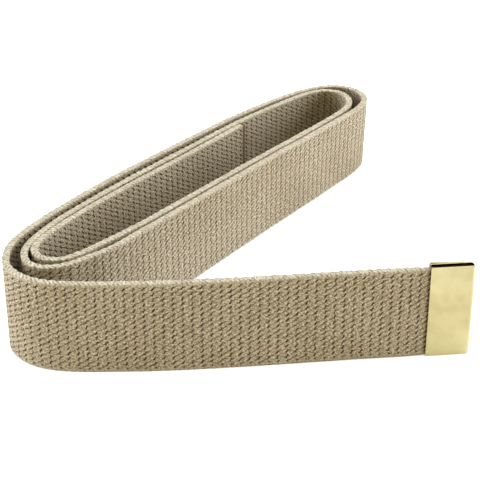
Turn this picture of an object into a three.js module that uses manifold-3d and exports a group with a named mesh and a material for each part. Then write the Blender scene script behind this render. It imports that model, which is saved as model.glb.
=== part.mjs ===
import * as THREE from 'three';
import { mergeVertices } from 'three/addons/utils/BufferGeometryUtils.js';
import Module from 'manifold-3d';

// Driving dimensions, millimetres.
const webWidth = 31.75;
const webThickness = 2.3;
const layerGap = 0.35;
const edgeEase = 0.35;
const coilLength = 160.5;
const coilBreadth = 126.5;
const wallClosing = 0.06;
const closingCentre = -0.23;
const tipLength = 15;
const tipOverhang = 0.3;
const tipSheet = 0.55;
const tipClearance = 0.35;
const tipPinch = 0.62;
const tipCorner = 1.3;
const tipNoseRoom = 1.4;
const hemShare = 0.78;
const hemTouchShare = 0.46;
const hemTouchGap = 0.06;
const hemSlot = 0.55;
const lipCorner = 0.9;
const lipRadius = 1.1;
const lipTurn = 45;
const pinchRun = 5;
const liftRun = 70;

// Fineness: station spacing in millimetres, the bend in radians per millimetre that earns the closest
// spacing, and steps per rounded stretch.
const straightStep = 3.2;
const turnStep = 1.5;
const tightBend = 0.06;
const headingReach = 0.6;
const bendReach = 4;
const finePerPlace = 40;
const hemSteps = 10;
const noseSteps = 18;
const lipSteps = 4;
const cornerSteps = 10;

// The strap's centreline, run by run from the tip to the plain end.
// places: [share of coilBreadth to the right, share of coilLength away] from the coil's middle.
// layer: how many straps lie outside this run.
const strapRuns = [
  { run: 'free', layer: 0,
    places: [[0.69, -0.436], [0.58, -0.445], [0.32, -0.466], [0.07, -0.487], [-0.175, -0.5]] },
  { run: 'outerLeft', layer: 0,
    places: [[-0.375, -0.495], [-0.442, -0.473], [-0.487, -0.432], [-0.5, -0.376], [-0.488, -0.322]] },
  { run: 'outerBack', layer: 0,
    places: [[-0.425, -0.225], [-0.267, -0.04], [-0.096, 0.134], [0.083, 0.307], [0.23, 0.427]] },
  { run: 'outerRight', layer: 0,
    places: [[0.342, 0.494], [0.408, 0.51], [0.468, 0.497], [0.503, 0.459], [0.508, 0.417], [0.484, 0.37]] },
  { run: 'outerNear', layer: 0,
    places: [[0.37, 0.249], [0.192, 0.072], [0.018, -0.105], [-0.153, -0.279], [-0.24, -0.364]] },
  { run: 'middleLeft', layer: 1,
    places: [[-0.281, -0.412], [-0.331, -0.441], [-0.392, -0.453],
      [-0.447, -0.434], [-0.473, -0.392], [-0.472, -0.345]] },
  { run: 'middleBack', layer: 1,
    places: [[-0.42, -0.247], [-0.264, -0.064], [-0.094, 0.111], [0.082, 0.289], [0.22, 0.407]] },
  { run: 'innerRight', layer: 1,
    places: [[0.319, 0.478], [0.382, 0.499], [0.444, 0.482], [0.474, 0.44], [0.477, 0.395], [0.455, 0.349]] },
  { run: 'innerNear', layer: 1, places: [[0.356, 0.241], [0.181, 0.067], [0.008, -0.108], [-0.165, -0.281]] },
  { run: 'innerLeft', layer: 2,
    places: [[-0.224, -0.357], [-0.284, -0.406], [-0.348, -0.435],
      [-0.424, -0.428], [-0.468, -0.382], [-0.469, -0.331]] },
  { run: 'innerBack', layer: 2, places: [[-0.41, -0.236], [-0.26, -0.067], [-0.09, 0.107], [0.077, 0.284]] },
];

const clamp01 = (x) => Math.min(1, Math.max(0, x));
const smooth = (x) => clamp01(x) ** 2 * (3 - 2 * clamp01(x));

// The table's places, each moved inward by whole layers of strap, and a smooth curve through them.
function centreline() {
  const pitch = webThickness + layerGap;
  const rows = strapRuns.flatMap(({ layer, places }) =>
    places.map(([right, away]) => ({ right, away, layer })));
  const points = rows.map((r) => new THREE.Vector3(r.right * coilBreadth, r.away * coilLength, 0));
  const moved = points.map((p, i) => {
    const before = points[Math.max(0, i - 1)];
    const after = points[Math.min(points.length - 1, i + 1)];
    const t = after.clone().sub(before).normalize();
    return p.clone().add(new THREE.Vector3(t.y, -t.x, 0).multiplyScalar(pitch * rows[i].layer));
  });
  const curve = new THREE.CatmullRomCurve3(moved, false, 'centripetal');
  return curve.getPoints(moved.length * finePerPlace);
}

// Stations along the curve, closer together where it bends more.
function stations(curve) {
  const dist = [0];
  for (let i = 1; i < curve.length; i++) dist.push(dist[i - 1] + curve[i].distanceTo(curve[i - 1]));
  const total = dist[dist.length - 1];
  const at = (s) => {
    const goal = Math.min(total, Math.max(0, s));
    const next = Math.max(1, dist.findIndex((d) => d >= goal));
    const f = (goal - dist[next - 1]) / (dist[next] - dist[next - 1]);
    return curve[next - 1].clone().lerp(curve[next], f);
  };
  const heading = (s) => at(s + headingReach).sub(at(s - headingReach)).normalize();
  const list = [];
  let s = 0;
  while (s < total) {
    list.push({ s, p: at(s), t: heading(s) });
    const bend = heading(s).angleTo(heading(s + bendReach)) / bendReach;
    s += THREE.MathUtils.lerp(straightStep, turnStep, clamp01(bend / tightBend));
  }
  if (total - list[list.length - 1].s < headingReach) list.pop();
  list.push({ s: total, p: at(total), t: heading(total) });
  return list;
}

// The coil stands a little narrower at its top edge than on the floor.
function settle(x, y, z) {
  const mid = closingCentre * coilLength;
  const grow = 1 + wallClosing * (0.5 - z / webWidth);
  return [x, mid + (y - mid) * grow, z];
}

function meshFrom(name, positions, triangles, colour, metalness, roughness) {
  const geometry = new THREE.BufferGeometry();
  geometry.setAttribute('position', new THREE.Float32BufferAttribute(positions, 3));
  geometry.setIndex(triangles);
  geometry.computeVertexNormals();
  const material = new THREE.MeshStandardMaterial({ color: colour, metalness, roughness });
  const mesh = new THREE.Mesh(geometry, material);
  mesh.name = name;
  return mesh;
}

// Half the strap's thickness at a distance from its covered end: squeezed inside the tip.
function halfThickness(s) {
  const covered = tipLength - tipNoseRoom;
  return webThickness / 2 * THREE.MathUtils.lerp(tipPinch, 1, smooth((s - covered) / pinchRun));
}

// The strap's section, n through it and z up: a rectangle with eased edges.
function strapSection(half) {
  const e = Math.min(edgeEase, half / 2);
  return [
    [-half, e], [-half + e, 0], [half - e, 0], [half, e],
    [half, webWidth - e], [half - e, webWidth], [-half + e, webWidth], [-half, webWidth - e],
  ];
}

// One strap, its section carried along the stations and closed at both cut ends.
// Near the tip it rises off the floor by what the tip stands out below it.
function buildWebbing(path) {
  const positions = [];
  const triangles = [];
  for (const { s, p, t } of path) {
    const lift = tipOverhang * (1 - smooth((s - tipLength) / liftRun));
    for (const [n, z] of strapSection(halfThickness(s))) {
      positions.push(...settle(p.x - t.y * n, p.y + t.x * n, z + lift));
    }
  }
  const rim = strapSection(webThickness / 2).length;
  const count = path.length;
  for (let i = 0; i < count - 1; i++) {
    for (let k = 0; k < rim; k++) {
      const a = i * rim + k;
      const b = i * rim + (k + 1) % rim;
      triangles.push(a, b, a + rim, b, b + rim, a + rim);
    }
  }
  for (let k = 1; k < rim - 1; k++) {
    triangles.push(0, k + 1, k);
    const last = (count - 1) * rim;
    triangles.push(last, last + k, last + k + 1);
  }
  return meshFrom('webbing', positions, triangles, 0x8f8468, 0, 0.95);
}

// Outline of the folded sheet seen from above: u runs out along the strap, n through it.
// The hem lies close on the back and opens into a narrow wedge before its fold at the lip.
function tipOutline() {
  const mid = halfThickness(0) + tipClearance + tipSheet / 2;
  const hemLine = mid + tipSheet + hemTouchGap;
  const hemBend = (tipSheet + hemSlot) / 2;
  const noseCentre = tipLength - mid - tipSheet / 2;
  const path = [];
  const arc = (u, n, radius, from, to, steps) => {
    for (let i = 0; i <= steps; i++) {
      const a = THREE.MathUtils.degToRad(from + (to - from) * i / steps);
      path.push(new THREE.Vector2(u + radius * Math.cos(a), n + radius * Math.sin(a)));
    }
  };
  path.push(new THREE.Vector2(tipLength * hemShare, hemLine));
  path.push(new THREE.Vector2(tipLength * hemTouchShare, hemLine));
  arc(hemBend + tipSheet / 2, mid + hemBend, hemBend, 90, 270, hemSteps);
  arc(noseCentre, 0, mid, 90, -90, noseSteps);
  arc(lipRadius, lipRadius - mid, lipRadius, 270, 270 - lipTurn, lipSteps);
  const side = (sign) => path.map((p, i) => {
    const before = path[Math.max(0, i - 1)];
    const after = path[Math.min(path.length - 1, i + 1)];
    const t = after.clone().sub(before).normalize();
    return new THREE.Vector2(p.x - sign * t.y * tipSheet / 2, p.y + sign * t.x * tipSheet / 2);
  });
  return new THREE.Shape([...side(-1), ...side(1).reverse()]);
}

// Outline of the tip seen from its face: u runs out along the strap, z up, all four corners rounded.
function tipFace(height) {
  const face = new THREE.Shape();
  const nose = tipLength - tipCorner;
  face.absarc(lipCorner, lipCorner, lipCorner, Math.PI, 1.5 * Math.PI);
  face.absarc(nose, tipCorner, tipCorner, -Math.PI / 2, 0);
  face.absarc(nose, height - tipCorner, tipCorner, 0, Math.PI / 2);
  face.absarc(lipCorner, height - lipCorner, lipCorner, Math.PI / 2, Math.PI);
  return face;
}

function solidFrom(kit, geometry) {
  geometry.deleteAttribute('normal');
  geometry.deleteAttribute('uv');
  const merged = mergeVertices(geometry);
  return new kit.Manifold(new kit.Mesh({
    numProp: 3,
    vertProperties: merged.attributes.position.array,
    triVerts: Uint32Array.from(merged.index.array),
  }));
}

// Folded metal tip, open along both long edges.
function buildTip(kit, path) {
  const height = webWidth + 2 * tipOverhang;
  const flat = { steps: 1, curveSegments: cornerSteps, bevelEnabled: false };
  const sheet = new THREE.ExtrudeGeometry(tipOutline(), { ...flat, depth: height });
  const face = new THREE.ExtrudeGeometry(tipFace(height), { ...flat, depth: tipLength });
  face.rotateX(Math.PI / 2).translate(0, tipLength / 2, 0);
  const raw = solidFrom(kit, sheet).intersect(solidFrom(kit, face)).getMesh();
  const start = path[0];
  const out = start.t.clone().negate();
  const back = new THREE.Vector3(-out.y, out.x, 0);
  const origin = start.p.clone().addScaledVector(out, tipNoseRoom - tipLength);
  const positions = [];
  for (let i = 0; i < raw.vertProperties.length; i += raw.numProp) {
    const [u, n, z] = [raw.vertProperties[i], raw.vertProperties[i + 1], raw.vertProperties[i + 2]];
    const p = origin.clone().addScaledVector(out, u).addScaledVector(back, n);
    positions.push(...settle(p.x, p.y, z));
  }
  return meshFrom('belt_tip', positions, Array.from(raw.triVerts), 0xd9c98a, 1, 0.3);
}

const kit = await Module();
kit.setup();
const path = stations(centreline());
const belt = new THREE.Group();
belt.name = 'canvas_web_belt';
belt.add(buildWebbing(path), buildTip(kit, path));

// The whole belt is brought over the middle of its own footprint.
const box = new THREE.Box3().setFromObject(belt);
const middle = box.getCenter(new THREE.Vector3());
for (const mesh of belt.children) mesh.geometry.translate(-middle.x, -middle.y, -box.min.z);

export default belt;
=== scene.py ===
import math
import bmesh
import bpy
import numpy as np
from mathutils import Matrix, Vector
from mathutils.bvhtree import BVHTree


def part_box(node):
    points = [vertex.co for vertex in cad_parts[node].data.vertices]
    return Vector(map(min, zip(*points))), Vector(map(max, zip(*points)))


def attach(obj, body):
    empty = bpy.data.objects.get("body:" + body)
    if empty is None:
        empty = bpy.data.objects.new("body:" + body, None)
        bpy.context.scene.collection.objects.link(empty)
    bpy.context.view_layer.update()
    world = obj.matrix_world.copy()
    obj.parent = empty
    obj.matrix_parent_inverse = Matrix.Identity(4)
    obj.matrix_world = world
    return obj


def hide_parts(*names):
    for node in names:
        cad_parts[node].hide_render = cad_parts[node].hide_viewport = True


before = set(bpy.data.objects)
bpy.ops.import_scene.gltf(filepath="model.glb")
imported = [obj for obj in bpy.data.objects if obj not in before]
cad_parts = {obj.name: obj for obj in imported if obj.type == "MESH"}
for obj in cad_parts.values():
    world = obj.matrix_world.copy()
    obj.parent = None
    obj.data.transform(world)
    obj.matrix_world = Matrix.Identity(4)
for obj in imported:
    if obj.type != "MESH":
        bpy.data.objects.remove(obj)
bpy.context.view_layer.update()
mm = 0.001


# Shader maths: a wire is one output socket, and sums on wires add their own nodes.
class Wire:
    def __init__(self, tree, socket):
        self.tree = tree
        self.socket = socket

    def maths(self, operation, *values):
        return self.tree.node("ShaderNodeMath", {"operation": operation}, dict(enumerate(values)))

    def __add__(self, other):
        return self.maths("ADD", self, other)

    def __radd__(self, other):
        return self.maths("ADD", other, self)

    def __sub__(self, other):
        return self.maths("SUBTRACT", self, other)

    def __rsub__(self, other):
        return self.maths("SUBTRACT", other, self)

    def __mul__(self, other):
        return self.maths("MULTIPLY", self, other)

    def __rmul__(self, other):
        return self.maths("MULTIPLY", other, self)

    def __truediv__(self, other):
        return self.maths("DIVIDE", self, other)

    def __rtruediv__(self, other):
        return self.maths("DIVIDE", other, self)

    def fract(self):
        return self.maths("FRACT", self)

    def size(self):
        return self.maths("ABSOLUTE", self)

    def wave(self):  # 1 at whole numbers, -1 halfway between them
        return self.maths("COSINE", self * (2 * math.pi))

    def ramp(self, low, high, start=0.0, end=1.0):  # soft step between two values
        values = {"Value": self, "From Min": low, "From Max": high, "To Min": start, "To Max": end}
        return self.tree.node("ShaderNodeMapRange", {"interpolation_type": "SMOOTHSTEP"}, values)


class Material:
    def __init__(self, name):
        self.data = bpy.data.materials.new(name)
        self.data.use_nodes = True
        self.nodes = self.data.node_tree.nodes
        self.links = self.data.node_tree.links
        self.shader = self.nodes["Principled BSDF"]

    def node(self, kind, settings, inputs, output=0):
        made = self.nodes.new(kind)
        for key, value in settings.items():
            setattr(made, key, value)
        self.feed(made, inputs)
        return Wire(self, made.outputs[output])

    def feed(self, node, inputs):
        for key, value in inputs.items():
            if isinstance(value, Wire):
                self.links.new(value.socket, node.inputs[key])
            else:
                node.inputs[key].default_value = value

    def uvMap(self, name):
        return self.node("ShaderNodeUVMap", {"uv_map": name}, {})

    def split(self, vector):  # a vector's three parts
        first = self.node("ShaderNodeSeparateXYZ", {}, {0: vector})
        return [Wire(self, part) for part in first.socket.node.outputs]

    def noise(self, vector, scale, detail=2.0, roughness=0.5):
        values = {"Vector": vector, "Scale": scale, "Detail": detail, "Roughness": roughness}
        return self.node("ShaderNodeTexNoise", {}, values)

    def blend(self, factor, first, second):  # colours meet in a Mix node
        settings = {"data_type": "RGBA", "clamp_factor": True}
        return self.node("ShaderNodeMix", settings, {0: factor, 6: first, 7: second}, output=2)

    def paint(self, under, mask, coat):  # a coat is a colour and its strength
        colour, strength = coat
        return self.blend(mask * strength, under, colour)

    def bump(self, height, distance, strength):
        values = {"Height": height, "Distance": distance, "Strength": strength}
        return self.node("ShaderNodeBump", {}, values)


def rgb(red, green, blue):  # screen values 0 to 255 as Blender's linear colour
    parts = [c / 255 for c in (red, green, blue)]
    return [c / 12.92 if c <= 0.04045 else ((c + 0.055) / 1.055) ** 2.4 for c in parts] + [1.0]


def smooth(x):
    x = np.clip(x, 0, 1)
    return x * x * (3 - 2 * x)


def place(name, mesh):  # a finished bmesh becomes an object at the origin
    data = bpy.data.meshes.new(name)
    mesh.to_mesh(data)
    mesh.free()
    piece = bpy.data.objects.new(name, data)
    bpy.context.scene.collection.objects.link(piece)
    return piece


# The strap in metres: the CAD source's sizes, then the cloth's own mesh, relief, weave and colours, with
# painted highlight and shade among the colours.
strap = {
    "width": 31.75 * mm,
    "thickness": 2.3 * mm,
    "layerGap": 0.35 * mm,
    "coilLength": 160.5 * mm,
    "coilBreadth": 126.5 * mm,
    "wallClosing": 0.06,
    "closingCentre": -0.23,
    "tipLength": 15 * mm,
    "tipOverhang": 0.3 * mm,
    "tipPinch": 0.62,
    "tipNoseRoom": 1.4 * mm,
    "pinchRun": 5 * mm,
    "liftRun": 70 * mm,
    "headingReach": 0.6 * mm,
    "finePerPlace": 40,
    "edgeEase": 0.45 * mm,  # the cloth's own from here on
    "easeSteps": 5,
    "alongStep": 0.46 * mm,
    "acrossLines": [-13.6, -12.0, -8.0, -4.0, 0.0, 4.0, 8.0, 12.0, 13.6],  # mm from the middle
    "ribHeight": 0.055 * mm,
    "ribLean": 0.14,  # columns, towards each face's own side
    "rimStart": 0.9,  # share of the half width
    "scallop": 0.1 * mm,
    "selvedgeBulge": 0.08 * mm,
    "unevenAlong": (310, 173),  # radians per metre
    "unevenAcross": 90,
    "unevenShare": 0.6,
    "rimRibs": 0.5,  # the ribs' height at the rims, as a share
    "columnPitch": 3.05 * mm,
    "rowPitch": 1.92 * mm,
    "firstRow": 0.25,
    "pitWidth": 0.42 * mm,
    "pitHeight": (0.24, 0.48),  # shares of a row, from a pit's middle to its end
    "pitSlant": 0.45,
    "selvedge": (1.3 * mm, 0.715 * mm),  # in from the edge, where the pits fade and end
    "rimStrandsAndHighlight": (1.1 * mm, 0.3 * mm),  # in from the edge
    "strandSlant": 0.6 / mm,
    "strandFlecks": 4.0,
    "ropeShare": 0.6,
    # the plain end's dark band: painted shadow together with its sealed edge
    "sealAndShadowReach": 1.9 * mm,
    "sealAndShadowFull": 0.4,  # share of it that is dark throughout, painted shadow and sealed edge
    "lipShade": 1.3 * mm,
    "insideShade": (-0.2 * mm, -1.0 * mm),  # past the lip
    "wander": 0.24 * mm,
    "wanderNoise": 420.0,
    "breakNoise": 760.0,
    "strandNoise": 900.0,
    "yarnNoise": 1500.0,
    "fuzzNoise": 5200.0,
    "broadNoise": 45.0,
    "otherNoise": (3.1, 1.7, 0.0),  # how far off a second, unlike noise is read
    "pitDepth": (0.3, 0.6, 0.6, 1.0),  # noise from and to, depth from and to
    "twillBreaks": (0.42, 0.6, 0.15, 1.0),
    "twillCrest": (0.35, 1.0),
    "strandGroove": (0.0, -1.1),
    "broadRange": (0.3, 0.7),
    "paleRange": (0.45, 0.72),
    "shadedRange": (0.52, 0.3),
    "relief": 0.5 * mm,
    "reliefStrength": 0.9,
    "yarnRelief": 0.4,  # against a pit's 1
    "fuzzRelief": 0.16,
    "twillRelief": 0.6,
    "strandRelief": 0.9,
    "roughness": 0.92,
    "gloss": 0.05,
    "dullThread": rgb(139, 123, 95),
    "plainThread": rgb(149, 134, 106),
    "paleThread": rgb(192, 181, 154),
    "shadedThread": (rgb(104, 84, 50), 0.8),  # from here on each colour has its strength
    "twillLine": (rgb(78, 57, 26), 0.7),
    # painted highlight: the rims made lighter, standing in for the light from above
    "rimPaintedHighlight": (rgb(178, 167, 140), 0.5),
    "strandLine": (rgb(92, 76, 46), 0.6),
    "pitShade": (rgb(38, 20, 3), 0.95),
    "underLip": (rgb(52, 38, 18), 0.55),
    "insideTip": (rgb(26, 14, 3), 1.0),
    "sealAndShadowBrown": (rgb(78, 50, 10), 0.9),
}
strap["covered"] = strap["tipLength"] - strap["tipNoseRoom"]  # how far the strap reaches into the tip

# The CAD source's runs, from the tip to the plain end: layer, then places as shares of breadth and
# length. The place is the outermost strap's, and a layer further in moves inward from it.
strapRuns = [
    (0, [(0.69, -0.436), (0.58, -0.445), (0.32, -0.466), (0.07, -0.487), (-0.175, -0.5)]),
    (0, [(-0.375, -0.495), (-0.442, -0.473), (-0.487, -0.432), (-0.5, -0.376), (-0.488, -0.322)]),
    (0, [(-0.425, -0.225), (-0.267, -0.04), (-0.096, 0.134), (0.083, 0.307), (0.23, 0.427)]),
    (0, [(0.342, 0.494), (0.408, 0.51), (0.468, 0.497), (0.503, 0.459), (0.508, 0.417), (0.484, 0.37)]),
    (0, [(0.37, 0.249), (0.192, 0.072), (0.018, -0.105), (-0.153, -0.279), (-0.24, -0.364)]),
    (1, [(-0.281, -0.412), (-0.331, -0.441), (-0.392, -0.453)]),
    (1, [(-0.447, -0.434), (-0.473, -0.392), (-0.472, -0.345)]),
    (1, [(-0.42, -0.247), (-0.264, -0.064), (-0.094, 0.111), (0.082, 0.289), (0.22, 0.407)]),
    (1, [(0.319, 0.478), (0.382, 0.499), (0.444, 0.482), (0.474, 0.44), (0.477, 0.395), (0.455, 0.349)]),
    (1, [(0.356, 0.241), (0.181, 0.067), (0.008, -0.108), (-0.165, -0.281)]),
    (2, [(-0.224, -0.357), (-0.284, -0.406), (-0.348, -0.435)]),
    (2, [(-0.424, -0.428), (-0.468, -0.382), (-0.469, -0.331)]),
    (2, [(-0.41, -0.236), (-0.26, -0.067), (-0.09, 0.107), (0.077, 0.284)]),
]


def centreline():  # the fine line down the middle of the strap, and the distance along it
    places = [(right, away, layer) for layer, run in strapRuns for right, away in run]
    rows = np.array(places)
    points = rows[:, :2] * [strap["coilBreadth"], strap["coilLength"]]
    ends = np.vstack([points[:1], points, points[-1:]])
    run = ends[2:] - ends[:-2]
    run /= np.linalg.norm(run, axis=1)[:, None]
    pitch = strap["thickness"] + strap["layerGap"]
    points = points + np.column_stack([run[:, 1], -run[:, 0]]) * (pitch * rows[:, 2])[:, None]
    wide = np.vstack([2 * points[0] - points[1], points, 2 * points[-1] - points[-2]])
    knots = np.sqrt(np.linalg.norm(np.diff(wide, axis=0), axis=1))
    share = np.linspace(0, 1, strap["finePerPlace"], endpoint=False)[:, None]
    line = []
    for i in range(1, len(wide) - 2):  # one centripetal span between two places
        back, here, ahead = knots[i - 1], knots[i], knots[i + 1]
        before, start, end, after = wide[i - 1:i + 3]
        leave = (start - before) / back - (end - before) / (back + here) + (end - start) / here
        reach = (end - start) / here - (after - start) / (here + ahead) + (after - end) / ahead
        leave, reach = leave * here, reach * here
        line.append(start + leave * share + (3 * (end - start) - 2 * leave - reach) * share ** 2
                    + (2 * (start - end) + leave + reach) * share ** 3)
    line = np.vstack(line + [points[-1:]])
    steps = np.linalg.norm(np.diff(line, axis=0), axis=1)
    return line, np.concatenate([[0], np.cumsum(steps)])


def flatStrap(length):  # the strap laid out flat: x along, y across, z through
    mesh = bmesh.new()
    bmesh.ops.create_cube(mesh, size=1)
    bmesh.ops.scale(mesh, vec=(length, strap["width"], strap["thickness"]), verts=mesh.verts)
    bmesh.ops.translate(mesh, vec=(length / 2, 0, 0), verts=mesh.verts)

    def longEdges():
        return [e for e in mesh.edges if abs(e.verts[0].co.x - e.verts[1].co.x) > length / 2]

    bmesh.ops.bevel(mesh, geom=longEdges(), offset=strap["edgeEase"], segments=strap["easeSteps"],
                    profile=0.5, affect="EDGES", material=-1)
    for across in strap["acrossLines"]:
        bmesh.ops.bisect_plane(mesh, geom=mesh.verts[:] + mesh.edges[:] + mesh.faces[:],
                               plane_co=(0, across * mm, 0), plane_no=(0, 1, 0))
    cuts = round(length / strap["alongStep"]) - 1
    bmesh.ops.subdivide_edges(mesh, edges=longEdges(), cuts=cuts, use_grid_fill=True)
    weaveMap = mesh.loops.layers.uv.new("weave")
    rimMap = mesh.loops.layers.uv.new("rim")
    for face in mesh.faces:
        for loop in face.loops:
            loop[weaveMap].uv = loop.vert.co.xy  # metres along and across
            loop[rimMap].uv = loop.vert.co.xz  # metres along and through
    return mesh


def ribbed(s, across, through):  # the flat strap's relief: ribs, scalloped rims and unevenness
    fast, slow = (rate * s for rate in strap["unevenAlong"])
    uneven = np.sin(fast) * 0.5 + np.sin(slow + across * strap["unevenAcross"]) * 0.5
    beyond = np.abs(across) * 2 / strap["width"] - strap["rimStart"]
    edge = smooth(beyond / (1 - strap["rimStart"]))
    rib = np.cos(2 * math.pi * (s / strap["columnPitch"] - np.sign(through) * strap["ribLean"]))
    calm = 1 - strap["rimRibs"] * edge
    swell = strap["ribHeight"] * (rib * calm + uneven * strap["unevenShare"])
    outer = through / (strap["thickness"] / 2)
    dip = edge * strap["scallop"] * (rib - 1.5 + uneven * 0.5)  # never past the cut width
    return across + np.sign(across) * dip, through + outer * (swell + strap["selvedgeBulge"] * edge)


def windStrap(mesh, line, along):  # the flat strap, given its relief, follows the coil
    flat = np.array([v.co for v in mesh.verts])
    s, across, through = flat.T
    across, through = ribbed(s, across, through)

    def onLine(distance):
        return np.column_stack([np.interp(distance, along, line[:, i]) for i in (0, 1)])

    middle = onLine(s)
    run = onLine(s + strap["headingReach"]) - onLine(s - strap["headingReach"])
    run /= np.linalg.norm(run, axis=1)[:, None]
    squeezed = 1 - smooth((s - strap["covered"]) / strap["pinchRun"])
    through = through * (1 - (1 - strap["tipPinch"]) * squeezed)
    lift = strap["tipOverhang"] * (1 - smooth((s - strap["tipLength"]) / strap["liftRun"]))
    x = middle[:, 0] - run[:, 1] * through
    y = middle[:, 1] + run[:, 0] * through
    z = across + strap["width"] / 2 + lift
    centre = strap["closingCentre"] * strap["coilLength"]
    y = centre + (y - centre) * (1 + strap["wallClosing"] * (0.5 - z / strap["width"]))
    wound = np.column_stack([x, y, z])
    low, high = (np.array(c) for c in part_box("webbing"))
    wound[:, :2] += (low + high)[:2] / 2 - (wound.min(0) + wound.max(0))[:2] / 2
    for vert, co in zip(mesh.verts, wound):
        vert.co = co


def clothMaterial(length):
    cloth = Material("khakiCanvas")
    uv, rimUv = cloth.uvMap("weave"), cloth.uvMap("rim")
    u, v = cloth.split(uv)[:2]
    through = cloth.split(rimUv)[1]
    other = cloth.node("ShaderNodeVectorMath", {"operation": "ADD"}, {0: uv, 1: strap["otherNoise"]})

    # Columns and rows, let wander a little.
    wanderU = (cloth.noise(uv, strap["wanderNoise"]) - 0.5) * strap["wander"]
    wanderV = (cloth.noise(other, strap["wanderNoise"]) - 0.5) * strap["wander"]
    column = (u + wanderU) / strap["columnPitch"]
    row = (v + wanderV) / strap["rowPitch"] + strap["firstRow"]
    cellU = column.fract() - 0.5
    cellV = row.fract() - 0.5

    # Slanting pits in every cell, joined by broken twill lines, up to the selvedge.
    half = strap["width"] / 2
    fade, end = strap["selvedge"]
    inside = v.size().ramp(half - fade, half - end, 1.0, 0.0)
    slant = cellU * strap["columnPitch"] + cellV * (strap["rowPitch"] * strap["pitSlant"])
    narrow = slant.size().ramp(0.0, strap["pitWidth"], 1.0, 0.0)
    short = cellV.size().ramp(*strap["pitHeight"], 1.0, 0.0)
    depth = cloth.noise(other, strap["wanderNoise"], 1.0).ramp(*strap["pitDepth"])
    pits = narrow * short * depth * inside
    broken = cloth.noise(uv, strap["breakNoise"], 1.0).ramp(*strap["twillBreaks"])
    twill = (column + row).wave().ramp(*strap["twillCrest"]) * broken * inside

    # Threads, the rope-like strands of the rims, and a painted highlight along the rims.
    yarn = cloth.noise(uv, strap["yarnNoise"], 3.0, 0.6)
    fuzz = cloth.noise(other, strap["fuzzNoise"], 2.0, 0.6)
    broad = cloth.noise(uv, strap["broadNoise"], 3.0)
    rim = v.size().ramp(*(half - inset for inset in strap["rimStrandsAndHighlight"]))
    rope = (column * 2 + through * strap["strandSlant"]).wave()
    flecks = cloth.noise(rimUv, strap["strandNoise"], 3.0, 0.6) - 0.5
    groove = rope * strap["ropeShare"] + flecks * strap["strandFlecks"]
    strand = groove.ramp(*strap["strandGroove"]) * rim

    colour = cloth.blend(broad.ramp(*strap["broadRange"]), strap["dullThread"], strap["plainThread"])
    colour = cloth.blend(yarn.ramp(*strap["paleRange"]), colour, strap["paleThread"])
    colour = cloth.paint(colour, yarn.ramp(*strap["shadedRange"]), strap["shadedThread"])
    colour = cloth.paint(colour, twill, strap["twillLine"])
    # painted highlight along the rims, standing in for the light from above on them
    colour = cloth.paint(colour, rim, strap["rimPaintedHighlight"])
    colour = cloth.paint(colour, strand, strap["strandLine"])
    colour = cloth.paint(colour, pits, strap["pitShade"])

    # Painted shade under the tip's lip and inside the tip, and at the plain end a painted shadow
    # together with its sealed edge.
    pastLip = u - strap["covered"]
    colour = cloth.paint(colour, pastLip.ramp(0.0, strap["lipShade"], 1.0, 0.0), strap["underLip"])
    colour = cloth.paint(colour, pastLip.ramp(*strap["insideShade"]), strap["insideTip"])
    # painted shadow: the strap's last millimetres darkened for the shade at its cut end, together with
    # its sealed edge
    sealShadowMask = (u - length).ramp(-strap["sealAndShadowReach"], -strap["sealAndShadowFull"] * strap["sealAndShadowReach"])
    colour = cloth.paint(colour, sealShadowMask, strap["sealAndShadowBrown"])

    threads = yarn * strap["yarnRelief"] + fuzz * strap["fuzzRelief"]
    height = threads - pits - twill * strap["twillRelief"] - strand * strap["strandRelief"]
    cloth.feed(cloth.shader, {
        "Base Color": colour,
        "Normal": cloth.bump(height, strap["relief"], strap["reliefStrength"]),
        "Roughness": strap["roughness"],
        "Specular IOR Level": strap["gloss"],
    })
    return cloth.data


def buildStrap():
    line, along = centreline()
    length = float(along[-1])
    mesh = flatStrap(length)
    windStrap(mesh, line, along)
    piece = place("strapCloth", mesh)
    piece.data.shade_smooth()
    piece.data.materials.append(clothMaterial(length))
    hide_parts("webbing")
    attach(piece, "root")
    print(f"strap: {length:.3f} m long, {len(piece.data.polygons)} faces")


# The tip: the CAD sheet with its cut edges rounded, dark where it is folded over.
tip = {
    "weldDistance": 1e-6,
    "flatAngle": math.radians(1.5),
    "sharpAngle": math.radians(38),
    "creaseAngle": math.radians(50),
    "edgeRound": 0.14 * mm,
    "roundSteps": 3,
    "foldReach": 4 * mm,
    "lookFrom": 0.01 * mm,
    "edgeGlintWidth": 0.9 * mm,
    "footHeight": 14 * mm,
    "headHeights": (18 * mm, 32 * mm),
    "smudgeRange": (0.35, 0.7),
    "roughness": (0.3, 0.75, 0.3, 0.42),  # smudge from and to, roughness from and to
    "foldRoughness": 0.4,
    "smudgeNoise": 190.0,
    "scratchNoise": 2600.0,
    "scratchStretch": (1.0, 1.0, 0.25),
    "scratchShare": 0.3,
    "scratchDepth": 0.05 * mm,
    "scratchStrength": 0.35,
    "clearBrass": rgb(171, 157, 112),
    "smudgedBrass": rgb(166, 151, 104),
    # painted reflection: lighter brass towards the bottom and towards the top of the tip
    "footPaintedReflection": (rgb(204, 192, 140), 0.5),  # from here on each colour has its strength
    "headPaintedReflection": (rgb(204, 193, 150), 0.4),
    # painted highlight along the tip's lip and fold end
    "paintedEdgeGlint": (rgb(214, 204, 158), 0.6),
    "foldShade": (rgb(34, 22, 6), 1.0),
}


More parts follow.
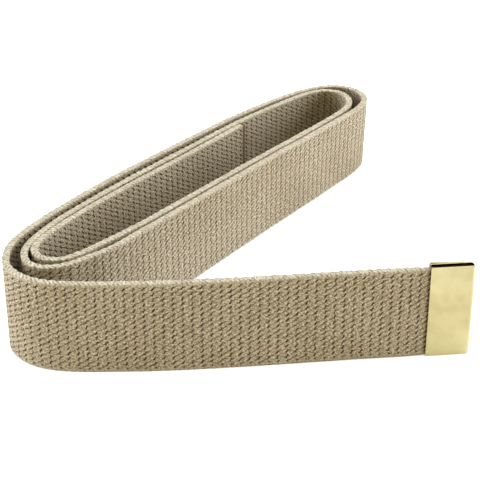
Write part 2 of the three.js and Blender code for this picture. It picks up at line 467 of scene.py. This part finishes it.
def brassMaterial():
    brass = Material("paleBrass")
    where = brass.node("ShaderNodeTexCoord", {}, {}, output="Object")
    stretch = brass.node("ShaderNodeMapping", {}, {"Vector": where, "Scale": tip["scratchStretch"]})
    fold, glintMask = brass.split(brass.uvMap("fold"))[:2]
    up = brass.split(where)[2]
    smudge = brass.noise(where, tip["smudgeNoise"], 3.0, 0.6)
    scratch = brass.noise(stretch, tip["scratchNoise"], 2.0, 0.7)
    colour = brass.blend(smudge.ramp(*tip["smudgeRange"]), tip["clearBrass"], tip["smudgedBrass"])
    # painted reflection: the brass lighter towards the bottom and towards the top
    colour = brass.paint(colour, up.ramp(tip["footHeight"], 0.0), tip["footPaintedReflection"])
    colour = brass.paint(colour, up.ramp(*tip["headHeights"]), tip["headPaintedReflection"])
    # painted highlight: the brass lighter along the lip and the fold end
    colour = brass.paint(colour, glintMask, tip["paintedEdgeGlint"])
    colour = brass.paint(colour, fold, tip["foldShade"])
    height = scratch * tip["scratchShare"] + smudge
    brass.feed(brass.shader, {
        "Base Color": colour,
        "Metallic": 1.0,
        "Roughness": smudge.ramp(*tip["roughness"]) + fold * tip["foldRoughness"],
        "Normal": brass.bump(height, tip["scratchDepth"], tip["scratchStrength"]),
    })
    return brass.data


def buildTip():
    mesh = bmesh.new()
    mesh.from_mesh(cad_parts["belt_tip"].data)
    bmesh.ops.remove_doubles(mesh, verts=mesh.verts, dist=tip["weldDistance"])
    bmesh.ops.dissolve_limit(mesh, angle_limit=tip["flatAngle"], verts=mesh.verts, edges=mesh.edges)
    sharp = [e for e in mesh.edges if e.is_manifold and e.calc_face_angle() > tip["sharpAngle"]]
    bmesh.ops.bevel(mesh, geom=sharp, offset=tip["edgeRound"], segments=tip["roundSteps"], profile=0.5,
                    affect="EDGES", material=-1, clamp_overlap=True)
    mesh.normal_update()
    walls = BVHTree.FromBMesh(mesh)
    foldMap = mesh.loops.layers.uv.new("fold")
    low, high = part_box("belt_tip")
    for face in mesh.faces:  # a face that looks at another one lies inside the fold
        start = face.calc_center_median() + face.normal * tip["lookFrom"]
        met = walls.ray_cast(start, face.normal, tip["foldReach"])[0]
        for loop in face.loops:
            # the second share marks the painted highlight along the tip's end edges
            inward = min(loop.vert.co.x - low[0], high[0] - loop.vert.co.x) / tip["edgeGlintWidth"]
            loop[foldMap].uv = (1.0 if met else 0.0, 1.0 - float(smooth(inward)))
    piece = place("brassTip", mesh)
    piece.data.shade_smooth()
    piece.data.set_sharp_from_angle(angle=tip["creaseAngle"])
    piece.data.materials.append(brassMaterial())
    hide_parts("belt_tip")
    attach(piece, "root")
    print(f"tip: {len(piece.data.polygons)} faces")


# Floor, light and camera.
studio = {
    "floorSize": 6.0,
    "floorColour": rgb(250, 247, 239),
    "floorRoughness": 0.9,
    "floorGloss": 0.1,
    "worldColour": (1.06, 0.92, 0.38, 1.0),
    "worldStrength": 0.57,
    "lampColour": (0.94, 1.08, 1.46),
    "lamps": [  # name, place, aimed at, size, watts
        ("topSoft", (0.0, 0.15, 1.2), (0.0, 0.0, 0.0), 1.2, 18.0),
        ("rightSoft", (1.15, 0.07, 0.38), (0.0, 0.0, 0.02), 0.9, 21.5),
        ("leftSoft", (-1.1, 0.02, 0.38), (0.0, 0.0, 0.02), 0.9, 19.0),
        ("backSoft", (0.0, 1.2, 0.72), (0.0, 0.0, 0.02), 1.2, 4.5),
    ],
    "cameraPlace": (0.0009, -0.4133, 0.2386),
    "cameraDown": math.radians(29.95),
    "focalPixels": 1250,
    "imagePixels": 480,
    "sensorWidth": 36,
}


def buildStudio():
    mesh = bmesh.new()
    bmesh.ops.create_grid(mesh, x_segments=1, y_segments=1, size=studio["floorSize"] / 2)
    floor = place("floor", mesh)
    paper = Material("palePaper")
    paper.feed(paper.shader, {
        "Base Color": studio["floorColour"],
        "Roughness": studio["floorRoughness"],
        "Specular IOR Level": studio["floorGloss"],
    })
    floor.data.materials.append(paper.data)
    world = bpy.data.worlds.new("studio")
    world.use_nodes = True
    bpy.context.scene.world = world
    sky = world.node_tree.nodes["Background"]
    sky.inputs["Color"].default_value = studio["worldColour"]
    sky.inputs["Strength"].default_value = studio["worldStrength"]
    for name, spot, aim, size, watts in studio["lamps"]:
        light = bpy.data.lights.new(name, "AREA")
        light.shape = "SQUARE"
        light.size = size
        light.energy = watts
        light.color = studio["lampColour"]
        lamp = bpy.data.objects.new(name, light)
        lamp.location = spot
        lamp.rotation_euler = (Vector(aim) - Vector(spot)).to_track_quat("-Z", "Y").to_euler()
        bpy.context.scene.collection.objects.link(lamp)
    lens = bpy.data.cameras.new("camera")
    lens.sensor_width = studio["sensorWidth"]
    lens.lens = studio["sensorWidth"] * studio["focalPixels"] / studio["imagePixels"]
    camera = bpy.data.objects.new("camera", lens)
    camera.location = studio["cameraPlace"]
    camera.rotation_euler = (math.pi / 2 - studio["cameraDown"], 0, 0)
    bpy.context.scene.collection.objects.link(camera)
    bpy.context.scene.camera = camera
    bpy.context.scene.view_settings.view_transform = "Standard"
    print("studio: floor, world, lamps and camera")


buildStrap()
buildTip()
buildStudio()
